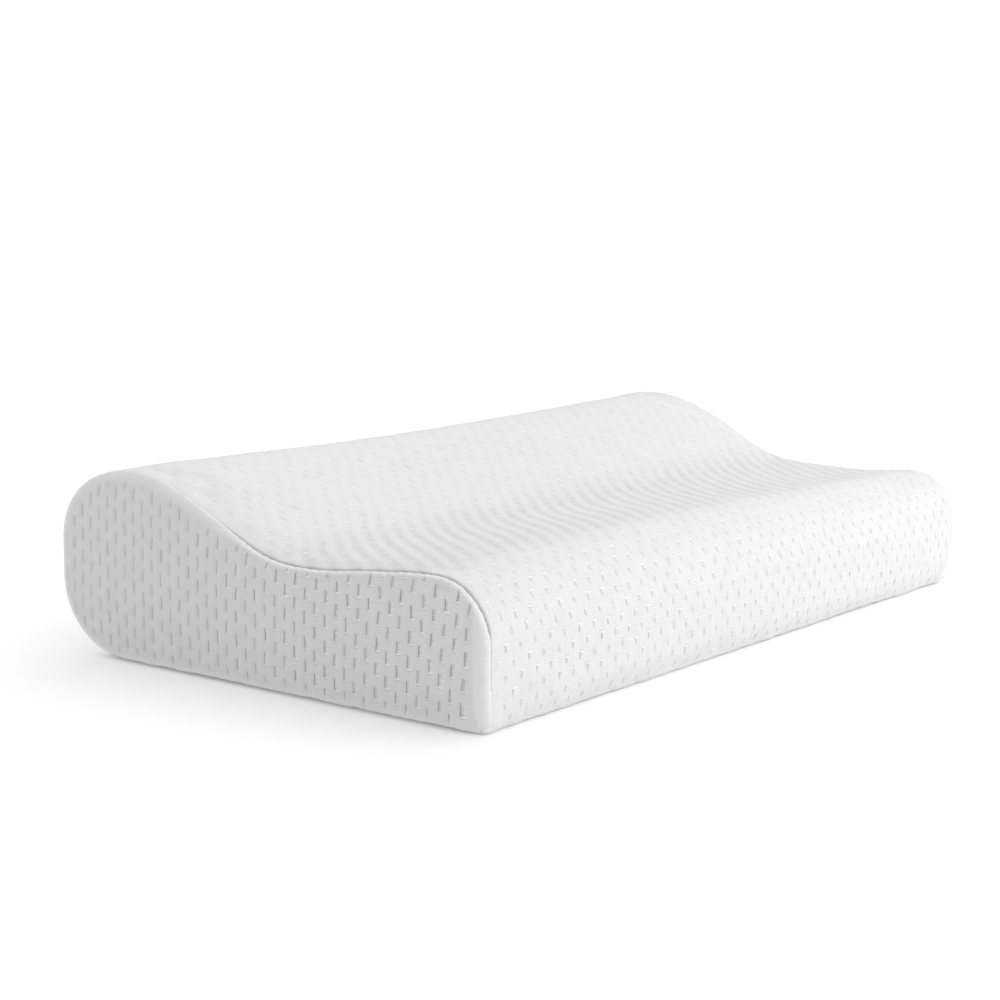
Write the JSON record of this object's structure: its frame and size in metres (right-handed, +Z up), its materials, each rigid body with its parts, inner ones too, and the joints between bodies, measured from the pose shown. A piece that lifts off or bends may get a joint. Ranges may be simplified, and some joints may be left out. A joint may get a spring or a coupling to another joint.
{
  "type": "contour pillow",
  "caption": "Wave-shaped foam bed pillow with a high and a low neck lobe, in an inner liner and a zipped quilted-knit cover.",
  "frame": {"origin": "on the flat underside that the pillow rests on, midway along its length and midway between the front and back of the cover", "axes": "+X along the length towards the right end as seen from the low front lobe, +Y from the low front lobe towards the high back lobe and its zip, +Z up"},
  "size_m": [0.5047, 0.3021, 0.105],
  "materials": {
    "cover_knit": "matte",
    "liner_fabric": "matte",
    "foam": "matte",
    "thread": "matte",
    "zip_tape": "matte",
    "zip_coil": "satin",
    "zip_metal": "satin",
    "label_ribbon": "satin"
  },
  "bodies": {
    "pillow": {"foam_core": "foam", "liner_wrap": "liner_fabric", "liner_left_end": "liner_fabric", "liner_right_end": "liner_fabric", "liner_left_seam_thread": "thread", "liner_right_seam_thread": "thread", "liner_closing_seam_thread": "thread", "cover_wrap_panel": "cover_knit", "cover_left_end_panel": "cover_knit", "cover_right_end_panel": "cover_knit", "cover_left_seam_thread": "thread", "cover_right_seam_thread": "thread", "cover_closing_thread_left": "thread", "cover_closing_thread_right": "thread", "zip_tape_upper": "zip_tape", "zip_tape_lower": "zip_tape", "zip_coil_upper": "zip_coil", "zip_coil_lower": "zip_coil", "zip_top_stop_upper": "zip_metal", "zip_top_stop_lower": "zip_metal", "zip_bottom_stop": "zip_metal", "zip_topstitch_upper": "thread", "zip_topstitch_lower": "thread", "zip_bartack_left": "thread", "zip_bartack_right": "thread", "care_label": "label_ribbon"},
    "slider": {"zip_slider": "zip_metal"},
    "pull_tab": {"zip_pull_tab": "zip_metal"}
  },
  "joints": [
    {"name": "zip_travel", "type": "slide", "parent": "pillow", "child": "slider", "axis": [1, 0, 0], "range_m": [0, 0.402]},
    {"name": "pull_swing", "type": "hinge", "parent": "slider", "child": "pull_tab", "pos_m": [-0.2015, 0.1515, 0.053], "axis": [0, 0, 1], "range_deg": [0, 180]}
  ]
}
